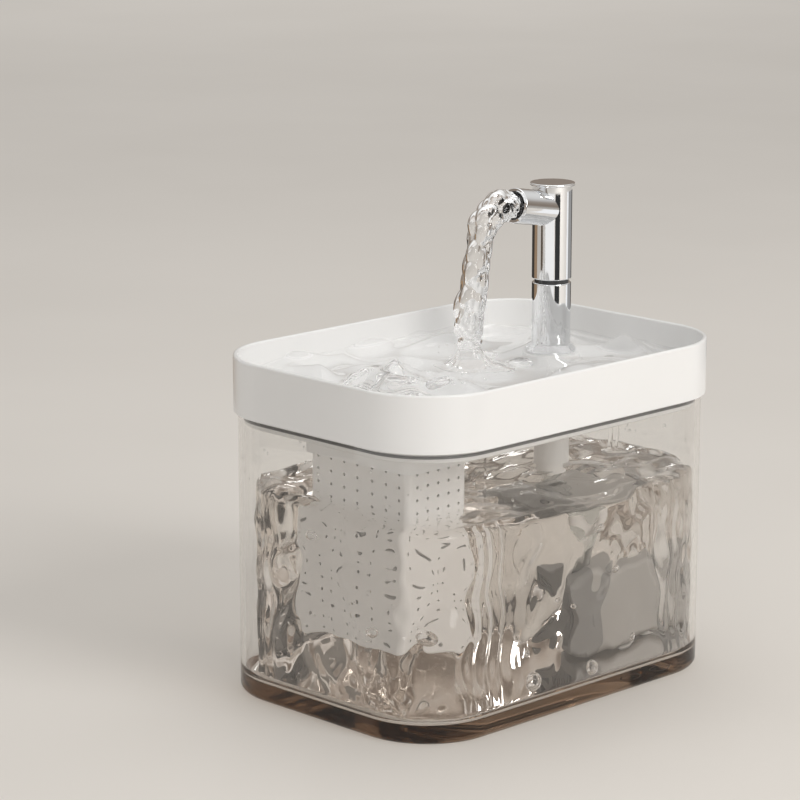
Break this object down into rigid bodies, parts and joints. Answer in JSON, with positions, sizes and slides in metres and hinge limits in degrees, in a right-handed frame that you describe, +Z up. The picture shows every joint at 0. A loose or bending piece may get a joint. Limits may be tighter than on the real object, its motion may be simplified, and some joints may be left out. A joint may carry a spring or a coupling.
{
  "type": "pet water fountain",
  "caption": "Clear rectangular water tank under a white drinking tray, with a swivelling chrome faucet, a hanging perforated filter box and a submerged pump.",
  "frame": {"origin": "centre of the tank's underside, on the surface that the fountain stands on", "axes": "+Z up, Y along the long side with the faucet at +Y and its spout towards -Y, X across the short side"},
  "size_m": [0.136, 0.191, 0.21],
  "materials": {
    "clear_plastic": "clear, polished",
    "white_plastic": "white, satin gloss",
    "inner_white_plastic": "white, matte",
    "chrome_plating": "mirror bright",
    "liner_plastic": "black, matte",
    "silicone_rubber": "pale grey silicone",
    "dark_rubber": "black rubber",
    "clear_silicone": "milky translucent silicone",
    "pump_plastic": "pale grey, fine matte",
    "circuit_board": "green solder mask",
    "stator_steel": "laminated steel",
    "copper_wire": "enamelled copper winding",
    "ceramic": "ground ceramic",
    "ferrite": "sintered ferrite, dark grey",
    "filter_foam": "open cell foam, dark grey",
    "resin_granules": "amber resin beads",
    "carbon_granules": "black carbon granules",
    "filter_cotton": "white filter cotton"
  },
  "bodies": {
    "tank": {"tank": "clear_plastic", "cable_grommet": "silicone_rubber", "riser_hose": "clear_silicone", "suction_cups": "clear_silicone", "pump_housing": "pump_plastic", "pump_back_cover": "pump_plastic", "driver_board": "circuit_board", "stator_core": "stator_steel", "stator_coils": "copper_wire", "shaft_bushes": "dark_rubber", "impeller_shaft": "ceramic", "volute_casing": "pump_plastic"},
    "tray": {"tray": "white_plastic", "tray_seal": "dark_rubber"},
    "filter_box": {"filter_box": "white_plastic"},
    "filter_cartridge": {"cartridge_case": "inner_white_plastic", "foam_pad": "filter_foam", "resin_bed": "resin_granules", "carbon_bed": "carbon_granules", "cotton_pad": "filter_cotton"},
    "drain_grille": {"drain_grille": "white_plastic"},
    "faucet": {"faucet_gasket": "silicone_rubber", "faucet_sleeve": "chrome_plating", "spigot_rings": "dark_rubber", "swivel_rings": "dark_rubber", "swivel_washer": "dark_rubber"},
    "faucet_head": {"faucet_head": "chrome_plating", "spout_liner": "liner_plastic", "faucet_cap": "chrome_plating"},
    "impeller": {"impeller": "inner_white_plastic", "rotor_magnet": "ferrite"},
    "pump_cover": {"pump_cover": "pump_plastic", "intake_sponge": "filter_foam"}
  },
  "joints": [
    {"name": "tray_lift", "type": "slide", "parent": "tank", "child": "tray", "axis": [0, 0, 1], "range_m": [0, 0.12]},
    {"name": "filter_lift", "type": "slide", "parent": "tray", "child": "filter_box", "axis": [0, 0, 1], "range_m": [0, 0.13]},
    {"name": "cartridge_lift", "type": "slide", "parent": "filter_box", "child": "filter_cartridge", "axis": [0, 0, 1], "range_m": [0, 0.09]},
    {"name": "grille_lift", "type": "slide", "parent": "filter_cartridge", "child": "drain_grille", "axis": [0, 0, 1], "range_m": [0, 0.035]},
    {"name": "faucet_lift", "type": "slide", "parent": "tray", "child": "faucet", "axis": [0, 0, 1], "range_m": [0, 0.05]},
    {"name": "faucet_swivel", "type": "hinge", "parent": "faucet", "child": "faucet_head", "pos_m": [0, 0.0488, 0.168], "axis": [0, 0, 1], "range_deg": [-90, 90]},
    {"name": "impeller_spin", "type": "hinge", "parent": "tank", "child": "impeller", "pos_m": [0, 0.0488, 0.0259], "axis": [0, 1, 0], "continuous": true},
    {"name": "pump_cover_slide", "type": "slide", "parent": "tank", "child": "pump_cover", "axis": [0, -1, 0], "range_m": [0, 0.025]}
  ]
}
